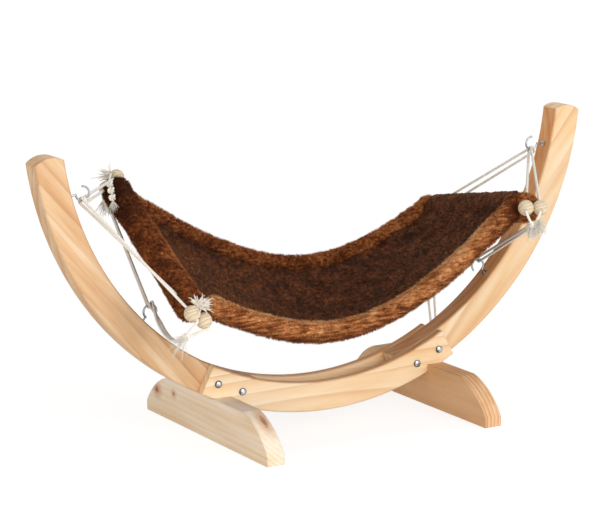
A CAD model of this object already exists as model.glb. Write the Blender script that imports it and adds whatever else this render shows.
import bpy
import math
import numpy as np
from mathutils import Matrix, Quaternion, Vector, noise


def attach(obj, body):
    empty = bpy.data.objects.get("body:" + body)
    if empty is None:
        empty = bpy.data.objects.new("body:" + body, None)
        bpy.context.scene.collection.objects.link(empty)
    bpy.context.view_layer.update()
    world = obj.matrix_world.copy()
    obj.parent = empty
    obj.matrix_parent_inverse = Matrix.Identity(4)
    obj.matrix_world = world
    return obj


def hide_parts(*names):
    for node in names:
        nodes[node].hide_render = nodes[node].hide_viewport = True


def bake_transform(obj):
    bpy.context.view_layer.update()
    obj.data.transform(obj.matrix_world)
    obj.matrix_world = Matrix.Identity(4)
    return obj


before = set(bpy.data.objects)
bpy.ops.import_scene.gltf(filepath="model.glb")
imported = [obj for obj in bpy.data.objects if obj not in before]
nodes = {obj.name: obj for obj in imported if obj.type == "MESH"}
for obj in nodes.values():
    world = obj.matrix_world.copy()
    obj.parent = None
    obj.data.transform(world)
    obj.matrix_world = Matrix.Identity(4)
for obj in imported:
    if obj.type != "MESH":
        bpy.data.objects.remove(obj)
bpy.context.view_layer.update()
scene = bpy.context.scene
print("frame loaded:", len(nodes), "solids")


# Camera

viewpoint = {
    "place": (-1.5134, -2.5353, 0.8200),
    "aim": (-0.0181, 0.0169, 0.1936),
    "roll": -0.71,  # degrees, right side lower
    "lens": 148.2,
    "sensor": 36.0,
}


def placeCamera():
    lens = bpy.data.cameras.new("viewCamera")
    lens.lens = viewpoint["lens"]
    lens.sensor_width = viewpoint["sensor"]
    lens.sensor_fit = "HORIZONTAL"
    camera = bpy.data.objects.new("viewCamera", lens)
    scene.collection.objects.link(camera)
    place = Vector(viewpoint["place"])
    look = (Vector(viewpoint["aim"]) - place).to_track_quat("-Z", "Y")
    camera.location = place
    camera.rotation_mode = "QUATERNION"
    camera.rotation_quaternion = look @ Quaternion((0, 0, 1), math.radians(viewpoint["roll"]))
    scene.camera = camera


placeCamera()
print("camera placed")


# Places on the frame, in metres

bowBoards = {
    "radius": 0.365,  # to the middle of the boards
    "width": 0.037,
    "lift": 0.016,  # lowest point over the floor
    "innerAngle": 16.5,  # degrees from straight down
    "tipAngle": 83.0,
    "boltAngles": (20.0, 25.6),
}
screwHooks = {
    "wire": 0.0026,
    "bend": 0.0085,
    "topNeck": 0.0105,
    "lowNeck": 0.0065,
    "topAngle": 75.4,
    "lowAngle": 44.8,
    "lean": 9.0,
    "seatTurn": 17.0,  # how far a cord sits from the middle of the bend
}
matEnds = {
    "spread": 0.300,  # between the bead pairs of one end
    "rollWidth": 0.038,
    "left": {"side": -1, "inward": 0.0918, "back": 0.0053, "drop": 0.0661, "turn": 6.5, "rise": 21.5},
    "right": {"side": 1, "inward": 0.0816, "back": -0.0032, "drop": 0.0681, "turn": 8.9, "rise": -10.4},
}
beads = {"width": 0.019, "gap": 0.0003}

down = np.array([0.0, 0.0, -1.0])


def spot(x, y, z):
    return np.array([x, y, z], float)


def unit(v):
    return v / np.linalg.norm(v)


def unitRows(v):
    return v / np.linalg.norm(v, axis=-1, keepdims=True)


def squareTo(v, way):
    return unit(v - np.dot(v, way) * way)


def bowSpot(angle, radius):
    a = math.radians(angle)
    height = bowBoards["lift"] + bowBoards["radius"] + bowBoards["width"] / 2
    return spot(radius * math.sin(a), 0, height - radius * math.cos(a))


def hookMiddle(side, angle, lean, neck):
    a = math.radians(angle + lean)
    way = spot(-side * math.sin(a), 0, math.cos(a))
    foot = bowSpot(side * angle, bowBoards["radius"] - bowBoards["width"] / 2)
    return foot + (neck + screwHooks["bend"]) * way


def rodWay(turn, rise):
    t, r = math.radians(turn), math.radians(rise)
    return spot(math.sin(t) * math.cos(r), math.cos(t) * math.cos(r), math.sin(r))


def matEnd(name):
    e = matEnds[name]
    hook = hookMiddle(e["side"], screwHooks["topAngle"], screwHooks["lean"], screwHooks["topNeck"])
    seat = hook + screwHooks["bend"] * down
    middle = seat + spot(-e["side"] * e["inward"], e["back"], -e["drop"])
    way = rodWay(e["turn"], e["rise"])
    out = squareTo(seat - middle, way)
    up = np.cross(way, out) * -e["side"]
    low = hookMiddle(e["side"], screwHooks["lowAngle"], 0, screwHooks["lowNeck"])
    return {"hook": hook, "seat": seat, "middle": middle, "way": way, "out": out, "up": up, "lowHook": low}


leftEnd, rightEnd = matEnd("left"), matEnd("right")


def corner(end, toRear, lay, droop, aside=(0, 0, 0)):
    sign = 1 if toRear else -1
    turn = screwHooks["seatTurn"] * sign
    return {
        "middle": end["middle"] + sign * matEnds["spread"] / 2 * end["way"],
        "lay": lay,
        "hook": end["hook"],
        "lowHook": end["lowHook"],
        "topAngle": -90 + turn,
        "lowAngle": 90 + turn,
        "droop": droop,
        "aside": np.array(aside, float),
        "along": sign * end["way"],
        "out": end["out"],
    }


rearLeftSpot = leftEnd["middle"] + matEnds["spread"] / 2 * leftEnd["way"]
rearLeftLay = unit(np.cross(leftEnd["way"], rearLeftSpot - leftEnd["seat"]))
rightLay = unit(rightEnd["out"] - rightEnd["up"])
corners = {
    "frontLeft": corner(leftEnd, False, leftEnd["out"], 0.022, (-0.022, 0.004, 0.004)),
    "rearLeft": corner(leftEnd, True, rearLeftLay, 0, (-0.009, 0.005, -0.003)),
    "frontRight": corner(rightEnd, False, rightLay, 0),
    "rearRight": corner(rightEnd, True, rightLay, 0),
}
solidNames = {
    "frontLeft": "front_left",
    "rearLeft": "rear_left",
    "frontRight": "front_right",
    "rearRight": "rear_right",
}


# Finishes

def shade(code):
    parts = [int(code[i:i + 2], 16) / 255 for i in (1, 3, 5)]
    linear = [c / 12.92 if c <= 0.04045 else ((c + 0.055) / 1.055) ** 2.4 for c in parts]
    return (*linear, 1.0)


def newFinish(name):
    finish = bpy.data.materials.new(name)
    finish.use_nodes = True
    tree = finish.node_tree
    tree.nodes.clear()
    out = tree.nodes.new("ShaderNodeOutputMaterial")
    skin = tree.nodes.new("ShaderNodeBsdfPrincipled")
    tree.links.new(skin.outputs["BSDF"], out.inputs["Surface"])
    return finish, tree, skin


def put(tree, kind, inputs=None, **settings):
    made = tree.nodes.new("ShaderNode" + kind)
    for name, value in settings.items():
        setattr(made, name, value)
    for name, value in (inputs or {}).items():
        if isinstance(value, bpy.types.NodeSocket):
            tree.links.new(value, made.inputs[name])
        else:
            made.inputs[name].default_value = value
    return made


def sums(tree, how, a, b):
    return put(tree, "Math", {0: a, 1: b}, operation=how).outputs[0]


def vectors(tree, how, *values):
    made = put(tree, "VectorMath", dict(enumerate(values)), operation=how)
    return made.outputs["Value" if how in ("LENGTH", "DOT_PRODUCT") else "Vector"]


def alongBow(tree, vector):
    return vectors(tree, "MULTIPLY", vector, (1, 0, 1))  # drops the part across the bow


def mixed(tree, share, first, second, how="MIX"):
    inputs = {0: share, 6: first, 7: second}
    return put(tree, "Mix", inputs, data_type="RGBA", blend_type=how).outputs[2]


def ramp(tree, value, stops):
    made = put(tree, "ValToRGB", {"Fac": value})
    band = made.color_ramp
    while len(band.elements) < len(stops):
        band.elements.new(0.5)
    for element, (at, colour) in zip(band.elements, stops):
        element.position = at
        element.color = colour
    return made.outputs["Color"]


def ranged(tree, value, low, high, newLow, newHigh):
    made = put(tree, "MapRange", {"Value": value, "From Min": low, "From Max": high})
    made.inputs["To Min"].default_value = newLow
    made.inputs["To Max"].default_value = newHigh
    return made.outputs["Result"]


def speckle(tree, vector, scale, detail):
    settings = {"Vector": vector, "Scale": scale, "Detail": detail, "Roughness": 0.55}
    return put(tree, "TexNoise", settings).outputs["Fac"]


def stretched(tree, vector, scale):
    return put(tree, "Mapping", {"Vector": vector, "Scale": scale}).outputs[0]


def objectPlace(tree):
    return put(tree, "TexCoord").outputs["Object"]


def raised(tree, skin, height, strength, distance, easedEdge=0):
    bump = put(tree, "Bump", {"Height": height, "Strength": strength, "Distance": distance})
    if easedEdge:
        eased = put(tree, "Bevel", {"Radius": easedEdge}, samples=6)
        tree.links.new(eased.outputs["Normal"], bump.inputs["Normal"])
    tree.links.new(bump.outputs["Normal"], skin.inputs["Normal"])


def surface(tree, skin, colour, rough, values):
    tree.links.new(colour, skin.inputs["Base Color"])
    tree.links.new(rough, skin.inputs["Roughness"])
    for name, value in values.items():
        skin.inputs[name].default_value = value


def grey(level):
    return (level, level, level, 1.0)


pine = {
    "plain": ("#f9e5c6", "#f1d1a5", "#e5b887", "#d6a06e"),  # light, middle, dark, line
    "warm": ("#edd2b0", "#e2bc92", "#d4a578", "#c18b60"),
    "clear": ("#ffeed4", "#fce1ba", "#f3cd9d", "#e2af7a"),
    "pale": ("#fff5e8", "#fae8cf", "#efd4b0", "#dcb687"),
    "tan": ("#f6d4ab", "#ecbf90", "#dca572", "#b37049"),
    "innerEdge": "#eeb478",
    "innerShare": 0.7,
    "easedEdge": 0.0025,
    "knotRim": "#cf9870",
    "knotHeart": "#93543a",
    "drawn": 0.09,  # grain pattern, drawn out along the board
    "hairDrawn": 0.035,
    "scales": {"wobble": 16, "broad": 58, "lines": 46, "hairs": 1500, "ragged": 260},  # marks in a metre
    "broadStops": (0.34, 0.50, 0.68),
    "ringStops": (0.0, 0.40, 0.74, 0.92, 1.0),
    "hairShare": 0.22,
    "hairDepth": 0.0004,
    "rough": (0.50, 0.64),
}


def innerEdge(tree):
    where = put(tree, "TexCoord").outputs
    gap = vectors(tree, "SUBTRACT", tuple(bowSpot(0, 0)), where["Object"])
    toMiddle = vectors(tree, "NORMALIZE", alongBow(tree, gap))
    facing = vectors(tree, "DOT_PRODUCT", toMiddle, where["Normal"])
    return ranged(tree, facing, 0.5, 0.9, 0, pine["innerShare"])


def ringTone(tree, laid, long, tones, board):
    wobble = board["wobble"]
    shifted = ranged(tree, speckle(tree, long, pine["scales"]["wobble"], 2), 0, 1, -wobble, wobble)
    across = put(tree, "SeparateXYZ", {"Vector": laid}).outputs
    squares = [sums(tree, "MULTIPLY", across[k], across[k]) for k in ("Y", "Z")]
    reach = sums(tree, "SQRT", sums(tree, "ADD", *squares), 0.0)
    years = sums(tree, "DIVIDE", sums(tree, "ADD", reach, shifted), board["ringGap"])
    season = sums(tree, "FRACT", years, 0.0)
    return ramp(tree, season, list(zip(pine["ringStops"], (*tones, tones[0]))))


def withKnot(tree, place, colour, knot):
    inputs = {"Vector": place, "Location": knot["place"], "Scale": knot["size"]}
    gap = put(tree, "Mapping", inputs, vector_type="TEXTURE").outputs[0]
    ragged = ranged(tree, speckle(tree, place, pine["scales"]["ragged"], 3), 0, 1, -0.45, 0.45)
    far = sums(tree, "ADD", vectors(tree, "LENGTH", gap), ragged)
    colour = mixed(tree, ranged(tree, far, 0.7, 2.4, knot["stain"], 0), colour, shade(pine["knotRim"]))
    return mixed(tree, ranged(tree, far, 0.30, 0.90, knot["heart"], 0), colour, shade(pine["knotHeart"]))


def pineFinish(name, board):
    finish, tree, skin = newFinish(name)
    tones = [shade(code) for code in pine[board["tone"]]]
    dark, scales = tones[2], pine["scales"]
    place = objectPlace(tree)
    grain, pith, share = board["grain"], board["pith"], board["lineShare"]
    turned = (0, 0, math.radians(90)) if grain is None else (0, math.radians(grain), 0)
    inputs = {"Vector": place, "Rotation": turned, "Location": (0, -pith[0], -pith[1])}
    laid = put(tree, "Mapping", inputs).outputs[0]
    long = stretched(tree, laid, (pine["drawn"], 1, 1))
    broad = ramp(tree, speckle(tree, long, scales["broad"], 2), list(zip(pine["broadStops"], tones)))
    rings = ringTone(tree, laid, long, tones, board)
    lined = ranged(tree, speckle(tree, long, scales["lines"], 2), 0.35, 0.65, 0.3 * share, share)
    streaked = mixed(tree, lined, broad, rings)
    hairs = speckle(tree, stretched(tree, laid, (pine["hairDrawn"], 1, 1)), scales["hairs"], 3)
    shown = ranged(tree, hairs, 0.35, 0.75, 0, pine["hairShare"])
    colour = mixed(tree, shown, streaked, dark, "MULTIPLY")
    if grain is not None:
        colour = mixed(tree, innerEdge(tree), colour, shade(pine["innerEdge"]), "MULTIPLY")
    for knot in board.get("knots", ()):
        colour = withKnot(tree, place, colour, knot)
    rough = ranged(tree, hairs, 0.2, 0.8, *pine["rough"])
    surface(tree, skin, colour, rough, {"Specular IOR Level": 0.30})
    raised(tree, skin, hairs, 0.20, pine["hairDepth"], pine["easedEdge"])
    return finish


metal = {
    "zinc": {"colour": "#b9bdc0", "rough": (0.24, 0.42)},
    "bright": {"colour": "#c9ccce", "rough": (0.14, 0.28)},
    "dull": 0.72,
    "scales": {"cloud": 420, "fine": 900},
    "drawn": 6,
    "depth": 0.0002,
    "rimShare": 0.85,
    "rim": "#3b3835",
    "rimReach": (0.0028, 0.0042),  # from the middle of a bolt head
}


def rimShade(tree, place, spots):
    near = None
    for x, z in spots:
        gap = vectors(tree, "SUBTRACT", place, (x, 0, z))
        far = vectors(tree, "LENGTH", alongBow(tree, gap))
        near = far if near is None else sums(tree, "MINIMUM", near, far)
    return ranged(tree, near, *metal["rimReach"], 0, metal["rimShare"])


def metalFinish(name, kind, spots=()):
    finish, tree, skin = newFinish(name)
    place = objectPlace(tree)
    cloud = speckle(tree, place, metal["scales"]["cloud"], 4)
    fine = speckle(tree, stretched(tree, place, (1, metal["drawn"], 1)), metal["scales"]["fine"], 2)
    base = shade(metal[kind]["colour"])
    dull = tuple(metal["dull"] * c for c in base[:3]) + (1.0,)
    colour = mixed(tree, ranged(tree, cloud, 0.35, 0.7, 0, 1), base, dull)
    if spots:
        colour = mixed(tree, rimShade(tree, place, spots), colour, shade(metal["rim"]))
    surface(tree, skin, colour, ranged(tree, fine, 0.3, 0.7, *metal[kind]["rough"]), {"Metallic": 1.0})
    raised(tree, skin, fine, 0.08, metal["depth"])
    return finish


beadWood = {
    "tones": ("#e9dcc5", "#dfcdb0", "#c9b28e"),
    "stops": (0.0, 0.65, 0.93, 1.0),
    "scales": {"wave": 70, "hairs": 1600},
    "grainGap": 0.0026,
    "wave": 0.003,
    "tilt": (0.5, 0.9, 0.3),
    "drawn": 0.14,
    "depth": 0.0003,
    "rough": (0.52, 0.70),
}


def beadFinish():
    finish, tree, skin = newFinish("beadWood")
    inputs = {"Vector": objectPlace(tree), "Rotation": beadWood["tilt"], "Scale": (beadWood["drawn"], 1, 1)}
    tilted = put(tree, "Mapping", inputs).outputs[0]
    light, middle, dark = (shade(code) for code in beadWood["tones"])
    wave, scales = beadWood["wave"], beadWood["scales"]
    waves = ranged(tree, speckle(tree, tilted, scales["wave"], 2), 0, 1, -wave, wave)
    level = put(tree, "SeparateXYZ", {"Vector": tilted}).outputs["Z"]
    years = sums(tree, "DIVIDE", sums(tree, "ADD", level, waves), beadWood["grainGap"])
    season = sums(tree, "FRACT", years, 0.0)
    tone = ramp(tree, season, list(zip(beadWood["stops"], (light, middle, dark, light))))
    hairs = speckle(tree, tilted, scales["hairs"], 3)
    colour = mixed(tree, ranged(tree, hairs, 0.35, 0.7, 0, 0.25), tone, dark, "MULTIPLY")
    rough = ranged(tree, hairs, 0.2, 0.8, *beadWood["rough"])
    surface(tree, skin, colour, rough, {"Specular IOR Level": 0.3})
    raised(tree, skin, hairs, 0.3, beadWood["depth"])
    return finish


cotton = {
    "tones": ("#fdfaf4", "#efe9de", "#ded5c6"),  # light, dull, lint
    "scales": {"dull": 240, "lint": 2600},
    "depth": 0.0004,
    "rough": (0.82, 0.96),
}


def cottonFinish():
    finish, tree, skin = newFinish("cottonCord")
    place = objectPlace(tree)
    light, dull, fluff = (shade(code) for code in cotton["tones"])
    lint = speckle(tree, place, cotton["scales"]["lint"], 3)
    worn = speckle(tree, place, cotton["scales"]["dull"], 4)
    tone = mixed(tree, ranged(tree, worn, 0.35, 0.7, 0, 1), light, dull)
    colour = mixed(tree, ranged(tree, lint, 0.4, 0.7, 0, 0.3), tone, fluff, "MULTIPLY")
    rough = ranged(tree, lint, 0.2, 0.8, *cotton["rough"])
    nap = {"Specular IOR Level": 0.2, "Sheen Weight": 0.25, "Sheen Roughness": 0.6}
    surface(tree, skin, colour, rough, nap)
    raised(tree, skin, lint, 0.5, cotton["depth"])
    return finish


plush = {
    "front": ("#63311a", "#99582d", "#c6834d", "#e2a66d", "#f3c694"),  # from the roots to the tips
    "rim": ("#371809", "#5f2d13", "#8c4d25", "#b8723d", "#dc9b61"),
    "panel": ("#200e07", "#33180b", "#4d2815", "#6b3a1f", "#8c5530"),
    "stops": (0.20, 0.38, 0.54, 0.70, 0.92),
    "sheen": "#d08a4e",
    "tipLift": 0.14,
    "seamLift": 0.32,
    "scales": {"patches": 46, "streaks": 330, "fine": 900},
    "patchRange": (0.14, 0.86),
    "fineRange": (-0.2, 0.2),
    "depth": 0.0016,
    "rough": (0.78, 0.95),
}


def plushFinish(name, kind, stretch, streak):
    finish, tree, skin = newFinish(name)
    place = objectPlace(tree)
    scales = plush["scales"]
    patches = speckle(tree, place, scales["patches"], 3)
    streaks = speckle(tree, stretched(tree, place, stretch), scales["streaks"], 4)
    fine = speckle(tree, place, scales["fine"], 2)
    depth = ranged(tree, patches, 0, 1, *plush["patchRange"])
    depth = sums(tree, "ADD", depth, ranged(tree, streaks, 0, 1, -streak, streak))
    depth = sums(tree, "ADD", depth, ranged(tree, fine, 0, 1, *plush["fineRange"]))
    for layer, lift in (("pileTip", plush["tipLift"]), ("seamLight", plush["seamLift"])):
        value = put(tree, "Attribute", attribute_name=layer).outputs["Fac"]
        depth = sums(tree, "ADD", depth, sums(tree, "MULTIPLY", value, lift))
    colour = ramp(tree, depth, [(at, shade(code)) for at, code in zip(plush["stops"], plush[kind])])
    rough = ranged(tree, fine, 0.2, 0.8, *plush["rough"])
    nap = {"Specular IOR Level": 0.22, "Sheen Weight": 0.30, "Sheen Roughness": 0.45}
    surface(tree, skin, colour, rough, {**nap, "Sheen Tint": shade(plush["sheen"])})
    raised(tree, skin, streaks, 0.6, plush["depth"])
    return finish


cottonLook = cottonFinish()
rimLook = plushFinish("rimPlush", "rim", (0.6, 0.6, 1.0), 0.6)
frontLook = plushFinish("frontPlush", "front", (0.16, 0.9, 1.0), 0.8)
panelLook = plushFinish("panelPlush", "panel", (0.5, 0.5, 1.0), 0.5)
print("soft finishes made")


# Cords: each runs doubled from its knot, through the beads, over the hook and back

cordSet = {
    "thick": 0.003,
    "full": 1.18,  # soft outline against the drawn-tight width
    "lay": 0.0105,  # length of one turn of its three strands
    "groove": 0.18,
    "sides": 18,
    "step": 0.0011,
    "easing": 0.006,  # how near a corner a taut run starts to round
    "slackEasing": 0.024,
    "easingShare": 0.48,  # most of a straight that a bend may take
    "bendPoints": 9,
    "hang": 0.0004,  # clear of the wire
    "knotPart": 0.0018,
    "knotBack": 0.012,
    "knotDrop": 0.016,
    "knotWidth": 0.009,
    "knotClear": 0.00075,
    "pass": 0.002,  # past the bead before it turns to the knot
    "part": 0.002,
    "slackPart": 1.3,
    "slackAt": (0.18, 0.38, 0.62, 0.84),
    "bending": (0.1, 0.95),  # share of a tie that gives when the mat swings
}
looseTie = {
    "corner": "rearRight",  # off its hook, a loop below its knot
    "long": 0.134,
    "drift": 0.011,
    "bend": 0.0032,
    "clear": 0.0005,
    "parts": ((0.3, 0.0034), (0.6, 0.0044), (0.9, 0.0035)),  # share of its length, half the gap there
    "turn": -30.0,
}
crossWays = {  # any way across, to start a ring from
    "strand": spot(0.31, 0.52, 0.79),
    "knot": spot(0.2, 0.9, 0.3),
    "fray": spot(0.3, 0.8, 0.5),
}
bendRadius = screwHooks["wire"] / 2 + cordSet["hang"] + cordSet["thick"] / 2


def hookSeat(middle, angle):
    a = math.radians(angle)
    return middle + screwHooks["bend"] * spot(math.cos(a), 0, math.sin(a))


def wireWay(angle):
    a = math.radians(angle)
    return spot(-math.sin(a), 0, math.cos(a))


def knotSpot(c):
    past = unit(c["middle"] - c["hook"]) * cordSet["knotBack"]
    return c["middle"] + past + cordSet["knotDrop"] * down + c["aside"]


def bight(seat, toward, side):
    angles = np.radians(np.linspace(90, 270, cordSet["bendPoints"]))
    return [seat + bendRadius * (math.cos(a) * toward + math.sin(a) * side) for a in angles]


def upperRoute(c):
    seat, wire = hookSeat(c["hook"], c["topAngle"]), wireWay(c["topAngle"])
    toward = squareTo(c["middle"] - seat, wire)
    side = np.cross(wire, toward)
    lay = c["lay"] if np.dot(c["lay"], side) >= 0 else -c["lay"]
    half = lay * (beads["width"] + beads["gap"]) / 2
    past = beads["width"] / 2 + cordSet["pass"]
    over = bight(seat, toward, side)
    knot = knotSpot(c)
    apart = squareTo(lay, unit(knot - c["middle"])) * cordSet["knotPart"]
    first, second = c["middle"] + half, c["middle"] - half
    return [
        knot + apart,
        first - unit(over[0] - first) * past,
        *over,
        second - unit(over[-1] - second) * past,
        knot - apart,
    ]


def slackRun(seat, knot, droop):
    return [seat + t * (knot - seat) + droop * math.sin(math.pi * t) * down for t in cordSet["slackAt"]]


def tieRoute(c):
    seat, wire = hookSeat(c["lowHook"], c["lowAngle"]), wireWay(c["lowAngle"])
    knot = knotSpot(c)
    slack = slackRun(seat, knot, c["droop"]) if c["droop"] else []
    aim, leave = (slack[0], slack[-1]) if slack else (knot, seat)
    toward = squareTo(aim - seat, wire)
    side = np.cross(wire, toward)
    start = knot + unit(leave - knot) * (cordSet["knotWidth"] / 2 + cordSet["knotClear"])
    apart = (wire if slack else side) * cordSet["part"]
    there = [p + cordSet["slackPart"] * apart for p in reversed(slack)]
    back = [p - cordSet["slackPart"] * apart for p in slack]
    return [start + apart, *there, *bight(seat, toward, side), *back, start - apart]


def looseRoute(c):
    a = math.radians(looseTie["turn"])
    side = spot(math.cos(a), math.sin(a), 0)
    knot, bend = knotSpot(c), looseTie["bend"]

    def at(t, apart):
        return knot + looseTie["long"] * t * down + (looseTie["drift"] * t + apart) * side

    first = (cordSet["knotWidth"] / 2 + looseTie["clear"]) / looseTie["long"]
    stops = [(first, cordSet["part"]), *looseTie["parts"]]
    turns = np.linspace(0, math.pi, cordSet["bendPoints"])
    return [
        *(at(t, w) for t, w in stops),
        *(at(1, bend * math.cos(f)) + bend * math.sin(f) * down for f in turns),
        *(at(t, -w) for t, w in reversed(stops)),
    ]


def distances(points):
    return np.concatenate([[0], np.cumsum(np.linalg.norm(np.diff(points, axis=0), axis=1))])


def routeLength(path):
    return round(float(distances(path)[-1]), 3)


def evenly(points, step):
    gaps = np.linalg.norm(np.diff(points, axis=0), axis=1)
    points = points[np.concatenate([[True], gaps > 1e-7])]  # without doubled points
    far = distances(points)
    count = max(4, int(round(far[-1] / step)) + 1)
    at = np.linspace(0, far[-1], count)
    return np.stack([np.interp(at, far, points[:, k]) for k in range(3)], axis=1)


def easedRoute(points, easing):
    eased = [points[0]]
    for before, at, after in zip(points, points[1:], points[2:]):
        a = min(easing, cordSet["easingShare"] * np.linalg.norm(at - before))
        b = min(easing, cordSet["easingShare"] * np.linalg.norm(after - at))
        p, q = at + unit(before - at) * a, at + unit(after - at) * b
        for t in np.linspace(0, 1, cordSet["bendPoints"]):
            eased.append((1 - t) ** 2 * p + 2 * t * (1 - t) * at + t * t * q)
    eased.append(points[-1])
    return evenly(np.array(eased), cordSet["step"])


def carried(path):
    ways = unitRows(np.gradient(path, axis=0))
    side = squareTo(crossWays["strand"], ways[0])
    sides = []
    for way in ways:
        side = squareTo(side, way)
        sides.append(side)
    sides = np.array(sides)
    return sides, np.cross(ways, sides)


def addObject(name, points, faces, finish, smooth=True):
    mesh = bpy.data.meshes.new(name)
    mesh.from_pydata([tuple(p) for p in points], [], faces)
    mesh.polygons.foreach_set("use_smooth", [smooth] * len(mesh.polygons))
    mesh.materials.append(finish)
    mesh.update()
    piece = bpy.data.objects.new(name, mesh)
    scene.collection.objects.link(piece)
    return piece


def gridFaces(rows, count, closed):
    faces = []
    for i in range(rows - 1):
        for j in range(count if closed else count - 1):
            k = (j + 1) % count
            faces.append((i * count + j, i * count + k, (i + 1) * count + k, (i + 1) * count + j))
    return faces


def tubeFaces(rows, count):
    ends = [tuple(reversed(range(count))), tuple((rows - 1) * count + j for j in range(count))]
    return gridFaces(rows, count, True) + ends


def tubeMesh(path, angle, size):
    sides, ups = carried(path)
    turned = np.cos(angle)[..., None] * sides[:, None, :] + np.sin(angle)[..., None] * ups[:, None, :]
    rings = path[:, None, :] + size[..., None] * turned
    return rings.reshape(-1, 3), tubeFaces(*rings.shape[:2])


def ropeMesh(path, thick):
    a = np.linspace(0, 2 * math.pi, cordSet["sides"], endpoint=False)[None, :]
    lobes = 1 - cordSet["groove"] * (1 - np.abs(np.cos(1.5 * a)) ** 0.7)  # three round strands
    return tubeMesh(path, a + 2 * math.pi * distances(path)[:, None] / cordSet["lay"], thick / 2 * lobes)


def ropePiece(name, path):
    return addObject(name, *ropeMesh(path, cordSet["thick"] * cordSet["full"]), cottonLook)


def gather(points, faces, more, moreFaces):
    faces.extend(tuple(len(points) + v for v in face) for face in moreFaces)
    points.extend(more)


knotShape = {
    "spread": 0.00125,
    "depth": 0.0016,
    "thick": 0.0030,
    "points": 150,
    "lieOut": 0.3,
    "turnStep": 0.4,  # radians from one corner's knot to the next
    "coil": 0.0031,
    "coilFrom": 0.004,
    "coilPoints": 34,
    "uneven": 0.10,
    "unevenTurn": 2.3,
    "pitch": 0.0046,
    "coils": {"frontLeft": 1, "rearLeft": 5, "frontRight": 2, "rearRight": 1},
}


def knotMesh(middle, way, turn):
    t = np.linspace(0, 2 * math.pi, knotShape["points"]) + turn
    side = squareTo(crossWays["knot"], way)
    up = np.cross(way, side)
    x = knotShape["spread"] * (np.sin(t) + 2 * np.sin(2 * t))
    y = knotShape["spread"] * (np.cos(t) - 2 * np.cos(2 * t))
    z = -knotShape["depth"] * np.sin(3 * t)
    path = middle + x[:, None] * side + y[:, None] * up + z[:, None] * way
    return ropeMesh(path, knotShape["thick"])


def coilMesh(middle, run, coils):
    a = np.linspace(0, 2 * math.pi * coils, knotShape["coilPoints"] * coils)
    side = squareTo(crossWays["fray"], run)
    up = np.cross(run, side)
    reach = knotShape["coil"] * (1 + knotShape["uneven"] * np.sin(knotShape["unevenTurn"] * a))
    far = knotShape["coilFrom"] + knotShape["pitch"] * a / (2 * math.pi)
    ring = (reach * np.cos(a))[:, None] * side + (reach * np.sin(a))[:, None] * up
    return ropeMesh(middle + ring + far[:, None] * run, knotShape["thick"])


frayShape = {
    "fine": {"thick": 0.0009, "wave": 0.22, "sides": 3},
    "coarse": {"thick": 0.0023, "wave": 0.45, "sides": 6},  # tufts over the beads
    "joints": 7,
    "shortest": 0.55,
    "root": 0.0009,
    "taper": 0.72,
    "overBeads": 0.55,  # of a bead's width
    "overTurn": 1.0,
    "seed": 40,
}


def frayedEnd(points, faces, root, way, fray, strand, seed):
    rng = np.random.default_rng(seed)
    side = squareTo(crossWays["fray"], way)
    up = np.cross(way, side)
    t = np.linspace(0, 1, frayShape["joints"])
    size = strand["thick"] / 2 * (1 - frayShape["taper"] * t)[:, None]
    turns = np.linspace(0, 2 * math.pi, strand["sides"], endpoint=False)[None, :]
    for _ in range(fray["count"]):
        lean = fray["wide"] * math.sqrt(rng.random())
        around = rng.random() * 2 * math.pi
        outward = math.cos(around) * side + math.sin(around) * up
        head = unit(way + lean * outward)
        bend = squareTo(rng.normal(size=3), head) * rng.normal() * strand["wave"]
        long = fray["long"] * rng.uniform(frayShape["shortest"], 1.0)
        base = root + frayShape["root"] * outward * rng.random()
        line = base + long * (t[:, None] * head + (t ** 2)[:, None] * (bend + fray["droop"] * down))
        gather(points, faces, *tubeMesh(line, turns, size))


# frayed ends at each corner, from the knot or from over the beads
frays = {
    "frontLeft": [
        {"at": "beads", "way": (0.10, -0.50, 0.9), "count": 70, "long": 0.020, "wide": 1.2, "droop": 0.2},
        {"at": "knot", "way": (-0.9, -0.3, -0.4), "count": 60, "long": 0.024, "wide": 0.7, "droop": 0.25},
    ],
    "rearLeft": [
        {"at": "beads", "way": (-0.9, -0.5, -0.1), "count": 60, "long": 0.019, "wide": 1.0, "droop": 0.0},
        {"at": "knot", "way": (-0.4, -0.2, -0.8), "count": 60, "long": 0.022, "wide": 0.5, "droop": 0.2},
    ],
    "frontRight": [
        {"at": "knot", "way": (0.6, -0.5, 0.1), "count": 130, "long": 0.019, "wide": 0.9, "droop": 0.15},
        {"at": "knot", "way": (-0.2, -0.5, -0.9), "count": 130, "long": 0.018, "wide": 0.9, "droop": 0.15},
    ],
    "rearRight": [
        {"at": "knot", "way": (0.35, 0.5, -0.6), "count": 60, "long": 0.017, "wide": 0.8, "droop": 0.15},
        {"at": "knot", "way": (-0.3, 0.4, -0.8), "count": 60, "long": 0.017, "wide": 0.7, "droop": 0.15},
    ],
}
knottedTail = {
    "corner": "rearLeft",  # spare end, over the outer face of the left roll
    "course": (  # along the roll, degrees round it, out from its middle
        (0.146, 40, 0.016),
        (0.132, 25, 0.0225),
        (0.118, 12, 0.023),
        (0.104, 5, 0.023),
        (0.090, -8, 0.023),
    ),
    "knots": (0.50, 0.70, 0.90),
    "turnStep": 1.7,
    "fray": {"count": 50, "long": 0.014, "wide": 0.7, "droop": 0.2},
    "seed": 77,
}


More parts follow.
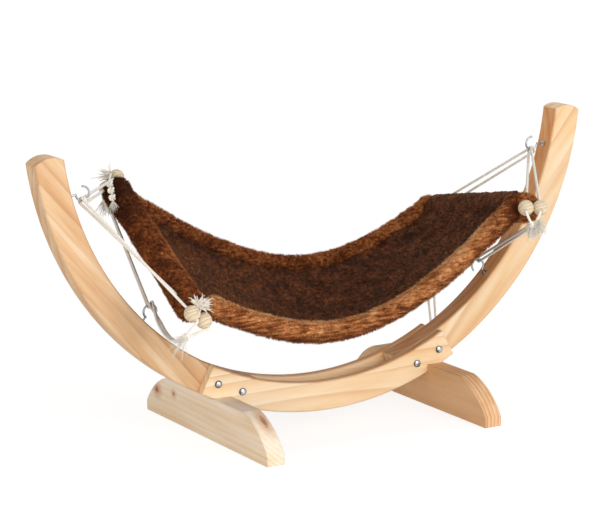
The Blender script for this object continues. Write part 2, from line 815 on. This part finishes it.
def addTail(points, faces, end, lie):
    course = []
    for far, turn, reach in knottedTail["course"]:
        a = math.radians(turn)
        outward = math.cos(a) * end["out"] + math.sin(a) * end["up"]
        course.append(end["middle"] + far * end["way"] + reach * outward)
    path = easedRoute(course, cordSet["slackEasing"])
    gather(points, faces, *ropeMesh(path, cordSet["thick"]))
    for k, share in enumerate(knottedTail["knots"]):
        place = path[int(share * (len(path) - 1))]
        gather(points, faces, *knotMesh(place, lie, knottedTail["turnStep"] * k))
    way = unit(path[-1] - path[-8])
    frayedEnd(points, faces, path[-1], way, knottedTail["fray"], frayShape["fine"], knottedTail["seed"])


def knotPieces(name, number, c, run):
    knot, lie = knotSpot(c), unit(c["along"] + knotShape["lieOut"] * c["out"])
    lumps, lumpFaces, hairs, hairFaces = [], [], [], []
    gather(lumps, lumpFaces, *knotMesh(knot, lie, knotShape["turnStep"] * number))
    gather(lumps, lumpFaces, *coilMesh(knot, run, knotShape["coils"][name]))
    for k, fray in enumerate(frays[name]):
        atKnot = fray["at"] == "knot"
        root = knot if atKnot else c["middle"] - frayShape["overBeads"] * beads["width"] * down
        strand = frayShape["fine" if atKnot else "coarse"]
        seed = frayShape["seed"] + 10 * number + k
        frayedEnd(hairs, hairFaces, root, unit(np.array(fray["way"])), fray, strand, seed)
        if not atKnot:
            gather(hairs, hairFaces, *knotMesh(root, lie, frayShape["overTurn"]))
    if name == knottedTail["corner"]:
        addTail(hairs, hairFaces, leftEnd, lie)
    tied = addObject(name + "Knot", lumps, lumpFaces, cottonLook)
    return tied, addObject(name + "Fray", hairs, hairFaces, cottonLook)


def hangUpper(name, number, c, run):
    path = easedRoute(upperRoute(c), cordSet["easing"])
    cord = ropePiece(name + "Cord", path)
    tied, fray = knotPieces(name, number, c, run)
    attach(cord, "hammock")
    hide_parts(solidNames[name] + "_cord")
    for piece in (tied, fray):
        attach(piece, "hammock")
    return routeLength(path)


def hangTie(name, c):
    loose, knot = name == looseTie["corner"], knotSpot(c)
    hanging = loose or c["droop"] > 0
    route = looseRoute(c) if loose else tieRoute(c)
    path = easedRoute(route, cordSet["slackEasing"] if hanging else cordSet["easing"])
    tie = ropePiece(name + "Tie", path)
    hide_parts(solidNames[name] + "_tie")
    if loose:
        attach(tie, "hammock")
    else:
        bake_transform(tie)
    return routeLength(path)


def hangCorner(name, number):
    c = corners[name]
    knot, low = knotSpot(c), hookSeat(c["lowHook"], c["lowAngle"])
    run = down if name == looseTie["corner"] else unit(slackRun(low, knot, c["droop"])[-1] - knot)
    cordLength, tieLength = hangUpper(name, number, c, run), hangTie(name, c)
    print(name, "cord", cordLength, "m, tie", tieLength, "m")


for cornerNumber, cornerName in enumerate(corners):
    hangCorner(cornerName, cornerNumber)
print("cords hung")


# Plush mat

sideRolls = {
    "width": 0.028,
    "sewnGap": 0.0008,
    "cornerIn": 0.010,  # how far inside the end of the end roll it is sewn
    "front": {"sag": 0.080, "draw": 0.005, "seamUp": (0.012, 0.012)},
    "rear": {"sag": 0.070, "draw": -0.024, "seamUp": (-0.004, 0.016)},
    "rows": 98,
    "around": 20,
    "heldRows": 1,
    "swell": 0.0012,  # most that the stuffing moves the cloth
    "pressed": {"front": 0.0034, "rear": 0.0, "at": 0.66, "wide": 0.17},  # flattened from below
    "over": {"long": 0.026, "inward": 0.0035, "rows": 9, "narrow": 0.9},  # right ends, over the right roll
    "under": {"long": 0.007, "rows": 3, "narrow": 0.35},  # left ends, into the left roll
    "nap": spot(-0.9, 0, -0.3),
    "tufts": 31000,
}
endRolls = {
    "round": 0.012,  # radius of the stuffed ends
    "roundPoints": 9,
    "dimple": 0.004,
    "dimpleWidth": 0.0006,
    "around": 26,
    "step": 0.0048,
    "heldRows": 2,
    "swell": 0.0018,
    "napDown": 0.5,
    "tufts": 26000,
}
lyingPanel = {
    "thick": 0.009,
    "thinner": 0.45,  # share lost into the seams
    "dip": 0.030,
    "rows": 74,
    "across": 38,
    "seamGap": 0.0012,
    "tuck": 0.0085,  # edges reach into the rolls
    "swell": 0.007,
    "overRows": 12,
    "overAngle": 118,  # degrees round the right roll
    "overThin": 0.0010,
    "overClear": 0.0005,
    "overEase": 0.8,
    "nap": spot(-0.6, -0.5, -0.1),
    "tufts": 36000,
}
pile = {
    "sink": 0.0027,  # cloth below the tips of the pile
    "long": 0.0044,
    "lengths": (0.6, 1.1),
    "wide": 0.0010,
    "widths": (0.7, 1.2),
    "root": 0.0006,
    "lean": 0.8,
    "stray": 0.45,
    "clump": 0.0012,
    "clumpSize": 0.011,
    "tuft": 0.6,  # of a clump's height
    "tuftSize": 0.0045,
    "patch": ((-0.0008, -0.0008), (0.0008, -0.0008), (0.0, 0.0012)),
}
seamLines = {"strength": 1.0, "at": 1.15, "wide": 0.13}
rightward = {"strength": 0.4, "from": 0.56, "over": 0.2}
lights = {  # bands lie so many radians round from the seam; fades run from the front or left end
    "leftRoll": {
        "level": -0.13,
        "bands": [{"strength": 0.3, "at": 5.0, "wide": 0.35}],  # paler top
        "fades": [{"strength": -0.9, "from": 0.5, "over": 0.35}],  # darker toward the rear
    },
    "rightRoll": {"fades": [{"strength": 0.5, "from": 0.17, "over": -0.12}]},  # paler front end
    "frontRoll": {
        "bands": [seamLines, {"strength": -0.9, "at": 4.0, "wide": 0.8}],  # darker below
        "fades": [rightward, {"strength": -1.4, "from": 0.845, "over": 0.09}],  # darker right end
    },
    "rearRoll": {"bands": [seamLines], "fades": [rightward]},
    "lyingPanel": {},
}
rollLength = matEnds["spread"] - beads["width"] - 2 * beads["gap"]
endRadius = matEnds["rollWidth"] / 2
sideRadius = sideRolls["width"] / 2


def sewnEnd(end, sign, seamUp):
    along = sign * (rollLength / 2 - sideRolls["cornerIn"])
    seam = end["middle"] + along * end["way"] + seamUp * end["up"]
    return seam - end["out"] * (endRadius + sideRolls["sewnGap"])


def edgeSpot(which, u):
    edge, sign = sideRolls[which], -1 if which == "front" else 1
    p, q = (sewnEnd(end, sign, up) for end, up in zip((leftEnd, rightEnd), edge["seamUp"]))
    return p + u * (q - p) + math.sin(math.pi * u) * spot(0, edge["draw"], -edge["sag"])


def edgeWay(which, u):
    tiny, steps, firm = 0.01, 24, 20
    way = unit(edgeSpot(which, min(1, u + tiny)) - edgeSpot(which, max(0, u - tiny)))
    hold = max(0, steps * u - steps + 1) * rightEnd["out"] - max(0, 1 - steps * u) * leftEnd["out"]
    return unit(way + firm * hold)  # square to the end rolls at the very ends


def edgeInward(which, u):
    other = "rear" if which == "front" else "front"
    return squareTo(edgeSpot(other, u) - edgeSpot(which, u), edgeWay(which, u))


def panelSpot(u, v):
    reach = sideRadius + lyingPanel["seamGap"] - lyingPanel["tuck"]
    a = edgeSpot("front", u) + edgeInward("front", u) * reach
    b = edgeSpot("rear", u) + edgeInward("rear", u) * reach
    return a + v * (b - a) + lyingPanel["dip"] * math.sin(math.pi * u) * math.sin(math.pi * v) * down


def ringWays(count, toward, side):
    angle = np.linspace(0, 2 * math.pi, count, endpoint=False)
    return np.cos(angle)[:, None] * toward + np.sin(angle)[:, None] * side


def endRollGrid(end):
    half, rounding, dimple = rollLength / 2, endRolls["round"], endRolls["dimple"]
    quarter = np.linspace(0, math.pi / 2, endRolls["roundPoints"])
    flat = endRadius - rounding
    cap = [(dimple - half, endRolls["dimpleWidth"]), (0.4 * dimple - half, 0.45 * flat), (-half, flat)]
    cap += [(rounding * (1 - math.cos(a)) - half, flat + rounding * math.sin(a)) for a in quarter[1:]]
    profile = np.array(cap + [(-x, r) for x, r in reversed(cap)])
    far = distances(profile)
    at = np.linspace(0, far[-1], int(far[-1] / endRolls["step"]))
    x, r = np.interp(at, far, profile[:, 0]), np.interp(at, far, profile[:, 1])
    ring = ringWays(endRolls["around"], -end["out"], np.cross(end["way"], -end["out"]))
    return end["middle"] + x[:, None, None] * end["way"] + r[:, None, None] * ring[None]


def sideRollRing(which, u, shift, radius):
    way, toward = edgeWay(which, u), edgeInward(which, u)
    ring = ringWays(sideRolls["around"], toward, np.cross(way, toward))
    pressed = sideRolls["pressed"]
    press = pressed[which] * math.exp(-((u - pressed["at"]) / pressed["wide"]) ** 2)
    return edgeSpot(which, u) + shift + radius * ring - press * np.maximum(0, ring @ down)[:, None] * down


def sideRollGrid(which):
    over, under = sideRolls["over"], sideRolls["under"]
    inward = rightEnd["way"] if which == "front" else -rightEnd["way"]
    rows = []
    for s in np.linspace(1, 0, under["rows"] + 1)[:-1]:
        narrowed = sideRadius * (1 - under["narrow"] * s ** 2)
        rows.append(sideRollRing(which, 0, under["long"] * s * leftEnd["out"], narrowed))
    rows += [sideRollRing(which, u, 0, sideRadius) for u in np.linspace(0, 1, sideRolls["rows"])]
    for s in np.linspace(0, 1, over["rows"] + 1)[1:]:
        shift = over["long"] * s * rightEnd["out"] + over["inward"] * min(1, 2 * s) * inward
        rows.append(sideRollRing(which, 1, shift, sideRadius * math.sqrt(1 - over["narrow"] * s ** 4)))
    return np.array(rows)


def panelMiddle():
    us, vs = np.linspace(0, 1, lyingPanel["rows"]), np.linspace(0, 1, lyingPanel["across"])
    return np.array([[panelSpot(u, v) for v in vs] for u in us])


rollCloth = {
    "gravity": 0.0,
    "frames": 18,
    "settings": {
        "quality": 6,
        "mass": 0.3,
        "tension_stiffness": 18,
        "compression_stiffness": 18,
        "shear_stiffness": 9,
        "bending_stiffness": 4,
        "shrink_min": -0.05,  # cut a little larger than its frame
        "use_pressure": True,
        "uniform_pressure_force": 3.0,
    },
}
panelCloth = {
    "gravity": 0.6,
    "frames": 26,
    "settings": {
        "quality": 6,
        "mass": 0.3,
        "tension_stiffness": 14,
        "compression_stiffness": 14,
        "shear_stiffness": 7,
        "bending_stiffness": 3,
        "shrink_min": -0.035,
    },
}


def settle(grid, closed, held, cloth, most):
    rows, count = grid.shape[:2]
    mesh = bpy.data.meshes.new("settling")
    mesh.from_pydata([tuple(p) for p in grid.reshape(-1, 3)], [], gridFaces(rows, count, closed))
    body = bpy.data.objects.new("settling", mesh)
    scene.collection.objects.link(body)
    body.vertex_groups.new(name="held").add([int(i) for i in np.flatnonzero(held)], 1.0, "REPLACE")
    modifier = body.modifiers.new("settle", "CLOTH")
    for name, value in cloth["settings"].items():
        setattr(modifier.settings, name, value)
    modifier.settings.vertex_group_mass = "held"
    modifier.settings.effector_weights.gravity = cloth["gravity"]
    modifier.point_cache.frame_end = cloth["frames"]
    for f in range(1, cloth["frames"] + 1):
        scene.frame_set(f)
    shown = body.evaluated_get(bpy.context.evaluated_depsgraph_get())
    moved = np.empty(rows * count * 3)
    shown.data.vertices.foreach_get("co", moved)
    bpy.data.objects.remove(body)
    bpy.data.meshes.remove(mesh)
    scene.frame_set(1)
    shift = moved.reshape(rows, count, 3) - grid
    far = np.linalg.norm(shift, axis=2, keepdims=True)
    print("  settled, largest move", round(float(far.max()) * 1000, 1), "mm")
    return grid + shift * np.minimum(1, most / np.maximum(far, 1e-9))


def refine(grid, factor, axis, closed):
    g = np.moveaxis(grid, axis, 0)
    m = len(g)
    t = np.arange(m * factor if closed else (m - 1) * factor + 1) / factor
    i = np.floor(t).astype(int)
    f = (t - i)[:, None, None]
    picks = [(i + k) % m if closed else np.clip(i + k, 0, m - 1) for k in (-1, 0, 1, 2)]
    a, b, c, d = (g[p] for p in picks)
    fine = b + 0.5 * f * (c - a + f * (2 * a - 5 * b + 4 * c - d + f * (3 * (b - c) + d - a)))
    return np.moveaxis(fine, 0, axis)


def finer(grid, closed):
    return refine(refine(grid, 2, 0, False), 2, 1, closed)


def gridNormals(grid):
    du = np.gradient(grid, axis=0)
    dv = np.roll(grid, -1, axis=1) - np.roll(grid, 1, axis=1)
    n = np.cross(du, dv)
    n /= np.maximum(np.linalg.norm(n, axis=2, keepdims=True), 1e-12)
    outward = grid - grid.mean(axis=1, keepdims=True)
    return n if (n * outward).sum() > 0 else -n


def clumped(grid, seed):
    normals = gridNormals(grid)
    lifted = np.empty(grid.shape[:2])
    drift = Vector((seed * 1.7, seed * 0.9, seed * 2.3))
    for i in range(grid.shape[0]):
        for j in range(grid.shape[1]):
            p = Vector(grid[i, j])
            coarse = noise.noise(p / pile["clumpSize"] + drift)
            fine = noise.noise(p / pile["tuftSize"] + drift)
            lifted[i, j] = pile["clump"] * (coarse + pile["tuft"] * fine)
    return grid + normals * (lifted - pile["sink"])[..., None]


def gridUv(rows, count):
    uv = []
    for i in range(rows - 1):
        for j in range(count):
            uv += [(i, j), (i, j + 1), (i + 1, j + 1), (i + 1, j)]
    uv += [(0, j) for j in reversed(range(count))]
    uv += [(rows - 1, j) for j in range(count)]
    return np.array(uv, float) / (rows - 1, count)


def seamLight(name, rows, count):
    along, angle = np.linspace(0, 1, rows)[:, None], np.arange(count)[None, :] * 2 * math.pi / count
    light = lights[name]
    level = np.full((rows, count), light.get("level", 0.0))
    for band in light.get("bands", ()):
        level = level + band["strength"] * np.exp(-((angle - band["at"]) / band["wide"]) ** 2)
    for fade in light.get("fades", ()):
        level = level + fade["strength"] * np.clip((along - fade["from"]) / fade["over"], 0, 1)
    return level


def pileSpikes(grid, nap, tufts, seed):  # slim closed spikes that lean with the nap
    rng = np.random.default_rng(seed)
    rows, count = grid.shape[:2]
    normals, right = gridNormals(grid), np.roll(grid, -1, axis=1)
    area = np.linalg.norm(np.cross(grid[1:] - grid[:-1], right[:-1] - grid[:-1]), axis=2).ravel()
    cell = rng.choice((rows - 1) * count, size=tufts, p=area / area.sum())
    i, j = cell // count, cell % count
    a, b = rng.random(tufts)[:, None], rng.random(tufts)[:, None]
    here, beyond = ((1 - b) * grid[k, j] + b * right[k, j] for k in (i, i + 1))
    root = (1 - a) * here + a * beyond
    n = unitRows((1 - a) * normals[i, j] + a * normals[i + 1, j])
    lean = nap + pile["stray"] * rng.normal(size=(tufts, 3))
    lean -= (lean * n).sum(axis=1)[:, None] * n
    head = unitRows(n + pile["lean"] * lean)
    long = pile["long"] * rng.uniform(*pile["lengths"], tufts)[:, None]
    side = unitRows(np.cross(n, rng.normal(size=(tufts, 3))))
    over = np.cross(n, side)
    wide = pile["wide"] * rng.uniform(*pile["widths"], tufts)[:, None] / 2
    feet = [(math.cos(t), math.sin(t)) for t in np.radians((0, 120, 240))]
    spikes = [root - pile["root"] * n + wide * (c * side + s * over) for c, s in feet]
    points = np.stack([*spikes, root + long * head], axis=1).reshape(-1, 3)
    at = np.stack([(i + a[:, 0]) / (rows - 1), (j + b[:, 0]) / count], axis=1)
    uv = np.tile((at[:, None, :] + np.array(pile["patch"])).reshape(-1, 2), (4, 1))
    return points, uv, (i, j)


def pointValues(piece, name, values):
    layer = piece.data.attributes.new(name, "FLOAT", "POINT")
    layer.data.foreach_set("value", values.astype(np.float32))


def plushPiece(name, grid, finish, nap, tufts, seed):
    grid = clumped(grid, seed)
    rows, count = grid.shape[:2]
    spikes, spikeUv, cells = pileSpikes(grid, nap, tufts, seed)
    first = rows * count + 4 * np.arange(tufts)
    faces = tubeFaces(rows, count)
    for a, b, c in ((0, 1, 3), (1, 2, 3), (2, 0, 3), (0, 2, 1)):
        faces += [(s + a, s + b, s + c) for s in first]
    piece = addObject(name, np.concatenate([grid.reshape(-1, 3), spikes]), faces, finish)
    layer = piece.data.uv_layers.new(name="OFBake")
    layer.data.foreach_set("uv", np.clip(np.concatenate([gridUv(rows, count), spikeUv]), 0, 1).ravel())
    tip = np.zeros(rows * count + 4 * tufts)
    tip[rows * count + 3::4] = 1.0
    pointValues(piece, "pileTip", tip)
    level = seamLight(name, rows, count)
    pointValues(piece, "seamLight", np.concatenate([level.ravel(), np.repeat(level[cells], 4)]))
    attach(piece, "hammock")
    print(" ", name, len(piece.data.polygons), "faces")
    return piece


def stuffed(name, grid, kind, finish, nap, seed):
    held = np.zeros(grid.shape[:2], bool)
    held[:, 0] = True  # its seam
    held[:kind["heldRows"]] = True
    held[-kind["heldRows"]:] = True
    grid = finer(settle(grid, True, held, rollCloth, kind["swell"]), True)
    return plushPiece(name, grid, finish, nap, kind["tufts"], seed)


def makeEndRoll(name, node, end, seed):
    nap = -end["way"] + endRolls["napDown"] * down
    piece = stuffed(name, endRollGrid(end), endRolls, rimLook, nap, seed)
    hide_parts(node)


def makeSideRoll(name, node, which, seed):
    look = frontLook if which == "front" else rimLook
    piece = stuffed(name, sideRollGrid(which), sideRolls, look, sideRolls["nap"], seed)
    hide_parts(node)


def overRoll(middle, full, end):
    rows = []
    away = middle[-1] - end["middle"]
    along = (away @ end["way"])[:, None] * end["way"]
    o, h = -(away @ end["out"]), away @ end["up"]
    firstAngle, firstReach = np.arctan2(h, o), np.hypot(o, h)
    lastReach = endRadius + lyingPanel["overThin"] + lyingPanel["overClear"]
    for s in np.linspace(0, 1, lyingPanel["overRows"] + 1)[1:]:
        angle = firstAngle + (math.radians(lyingPanel["overAngle"]) - firstAngle) * s
        reach = firstReach + (lastReach - firstReach) * s ** lyingPanel["overEase"]
        turn = -np.cos(angle)[:, None] * end["out"] + np.sin(angle)[:, None] * end["up"]
        thick = full[-1, :, 0] * (1 - s) + lyingPanel["overThin"] * s
        rows.append((end["middle"] + along + reach[:, None] * turn, turn, thick[:, None]))
    return [np.array(part) for part in zip(*rows)]


def makePanel(seed):
    middle = panelMiddle()
    held = np.ones(middle.shape[:2], bool)
    held[1:-1, 1:-1] = False
    middle = finer(settle(middle, False, held, panelCloth, lyingPanel["swell"]), False)
    up = unitRows(np.cross(np.gradient(middle, axis=0), np.gradient(middle, axis=1)))
    v = np.linspace(0, 1, middle.shape[1])
    half = (1 - lyingPanel["thinner"] * np.abs(2 * v - 1) ** 6) * lyingPanel["thick"] / 2
    full = np.repeat(half[None, :, None], len(middle), axis=0)
    overMiddle, overUp, overFull = overRoll(middle, full, rightEnd)  # carries on over this roll
    tucked = middle[:1] + lyingPanel["tuck"] * leftEnd["out"]
    middle = np.concatenate([tucked, middle, overMiddle])
    lift = np.concatenate([full[:1], full, overFull]) * np.concatenate([up[:1], up, overUp])
    wrapped = np.concatenate([middle + lift, (middle - lift)[:, ::-1]], axis=1)
    piece = plushPiece("lyingPanel", wrapped, panelLook, lyingPanel["nap"], lyingPanel["tufts"], seed)
    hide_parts("mat_panel")


makeEndRoll("leftRoll", "left_roll", leftEnd, 3)
makeEndRoll("rightRoll", "right_roll", rightEnd, 5)
makeSideRoll("frontRoll", "front_roll", "front", 7)
makeSideRoll("rearRoll", "rear_roll", "rear", 11)
makePanel(13)
print("mat made")


# Stand

def chordAngle(side):
    a, b = (bowSpot(side * bowBoards[k], bowBoards["radius"]) for k in ("innerAngle", "tipAngle"))
    return math.degrees(math.atan2(b[2] - a[2], b[0] - a[0]))


footKnots = [
    {"place": (-0.164, 0.124, 0.032), "size": (1.0, 0.007, 0.006), "stain": 0.75, "heart": 0.85},
    {"place": (-0.164, 0.079, 0.036), "size": (1.0, 0.004, 0.0035), "stain": 0.6, "heart": 0.7},
    {"place": (-0.148, -0.116, 0.043), "size": (0.0045, 0.012, 0.012), "stain": 0.7, "heart": 0.75},
]
boards = {  # grain in degrees along the bow, or front to back where there is none
    "left_arm": {
        "tone": "warm", "grain": chordAngle(-1), "pith": (0.055, 0.012),
        "ringGap": 0.0105, "lineShare": 0.55, "wobble": 0.012,
    },
    "right_arm": {
        "tone": "plain", "grain": chordAngle(1), "pith": (0.062, -0.100),
        "ringGap": 0.0115, "lineShare": 0.55, "wobble": 0.012,
    },
    "front_cheek": {
        "tone": "clear", "grain": 2.0, "pith": (0.060, 0.005),
        "ringGap": 0.0090, "lineShare": 0.65, "wobble": 0.010,
    },
    "rear_cheek": {
        "tone": "clear", "grain": -2.0, "pith": (-0.070, 0.010),
        "ringGap": 0.0090, "lineShare": 0.6, "wobble": 0.010,
    },
    "left_foot": {
        "tone": "pale", "grain": None, "pith": (0.120, 0.300),
        "ringGap": 0.0050, "lineShare": 0.4, "wobble": 0.006, "knots": footKnots,
    },
    "right_foot": {
        "tone": "tan", "grain": None, "pith": (-0.300, 0.020),
        "ringGap": 0.0055, "lineShare": 0.8, "wobble": 0.004,
    },
}
rod = {
    "tone": "plain", "grain": None, "pith": (0.05, 0.02),
    "ringGap": 0.004, "lineShare": 0.6, "wobble": 0.006,
}
boards["left_rod"] = boards["right_rod"] = rod
standLooks = {}
for boardName, board in boards.items():
    side, kind = boardName.split("_")
    standLooks[boardName] = pineFinish(side + kind.title() + "Pine", board)

boltTurns = [side * angle for side in (-1, 1) for angle in bowBoards["boltAngles"]]
boltSpots = [bowSpot(turn, bowBoards["radius"])[[0, 2]] for turn in boltTurns]
zincLook = metalFinish("zincWire", "zinc")
brightLook = metalFinish("screwSteel", "bright")
beadLook = beadFinish()
boltLook = metalFinish("boltSteel", "bright", boltSpots)
for hookName in ("left_top_hook", "right_top_hook", "left_low_hook", "right_low_hook"):
    standLooks[hookName] = zincLook
for fixing in ("cheek_bolts", "cap_nuts"):
    standLooks[fixing] = boltLook
standLooks["foot_screws"] = brightLook
for solid in solidNames.values():
    standLooks[solid + "_beads"] = beadLook


def dressStand():
    for name, finish in standLooks.items():
        nodes[name].data.materials.clear()
        nodes[name].data.materials.append(finish)


dressStand()
print("stand finished")


# Studio

studio = {
    "ambient": 0.66,
    "ambientTint": (1.0, 0.975, 0.94, 1.0),
    "keyPlace": (0.55, -2.8, 1.05),
    "keyAim": (0.0, 0.0, 0.15),
    "keySize": 1.8,
    "keyPower": 38.5,
    "fillPlace": (-0.9, -0.9, 0.12),  # low, for the sides of the feet
    "fillAim": (-0.1, 0.0, 0.03),
    "fillSize": 0.5,
    "fillPower": 2.7,
    "keyColour": (1.0, 1.0, 1.0),
    "fillColour": (1.0, 0.90, 0.72),
    "floorSize": 14.0,
    "floorDrop": 0.0002,
    "floorTone": 0.92,  # for light bounced onto the part
    "shownTone": 0.36,  # for the camera, with the glow
    "floorGlow": 0.79,
}


def shownRays(tree):
    rays = put(tree, "LightPath")
    seen = sums(tree, "MAXIMUM", rays.outputs["Is Camera Ray"], rays.outputs["Is Glossy Ray"])
    return sums(tree, "MAXIMUM", seen, rays.outputs["Is Transmission Ray"])


def showApart(tree, lighting, shown, end):
    both = put(tree, "MixShader", {0: shownRays(tree), 1: lighting.outputs[0], 2: shown.outputs[0]})
    tree.links.new(both.outputs[0], put(tree, end).inputs["Surface"])


def lightStudio():
    scene.view_settings.view_transform = "Standard"
    world = bpy.data.worlds.new("studio")
    scene.world = world
    world.use_nodes = True
    tree = world.node_tree
    tree.nodes.clear()
    soft = put(tree, "Background", {"Color": studio["ambientTint"], "Strength": studio["ambient"]})
    white = put(tree, "Background", {"Color": grey(1.0), "Strength": 1.0})
    showApart(tree, soft, white, "OutputWorld")
    for name in ("key", "fill"):
        lamp = bpy.data.lights.new(name + "Light", "AREA")
        lamp.size = studio[name + "Size"]
        lamp.energy = studio[name + "Power"]
        lamp.color = studio[name + "Colour"]
        holder = bpy.data.objects.new(name + "Light", lamp)
        scene.collection.objects.link(holder)
        holder.location = studio[name + "Place"]
        aim = Vector(studio[name + "Aim"]) - holder.location
        holder.rotation_euler = aim.to_track_quat("-Z", "Y").to_euler()


def layFloor():
    half = studio["floorSize"] / 2
    edges = [(-half, -half, 0), (half, -half, 0), (half, half, 0), (-half, half, 0)]
    finish = bpy.data.materials.new("paleFloor")
    finish.use_nodes = True
    tree = finish.node_tree
    tree.nodes.clear()
    plain = put(tree, "BsdfDiffuse", {"Color": grey(studio["floorTone"])})
    shadowed = put(tree, "BsdfDiffuse", {"Color": grey(studio["shownTone"])})
    glow = put(tree, "Emission", {"Color": grey(1.0), "Strength": studio["floorGlow"]})
    bright = put(tree, "AddShader", {0: glow.outputs[0], 1: shadowed.outputs[0]})
    showApart(tree, plain, bright, "OutputMaterial")
    floor = addObject("floor", edges, [(0, 1, 2, 3)], finish, False)
    floor.location.z = -studio["floorDrop"]


lightStudio()
layFloor()
print("studio lit")
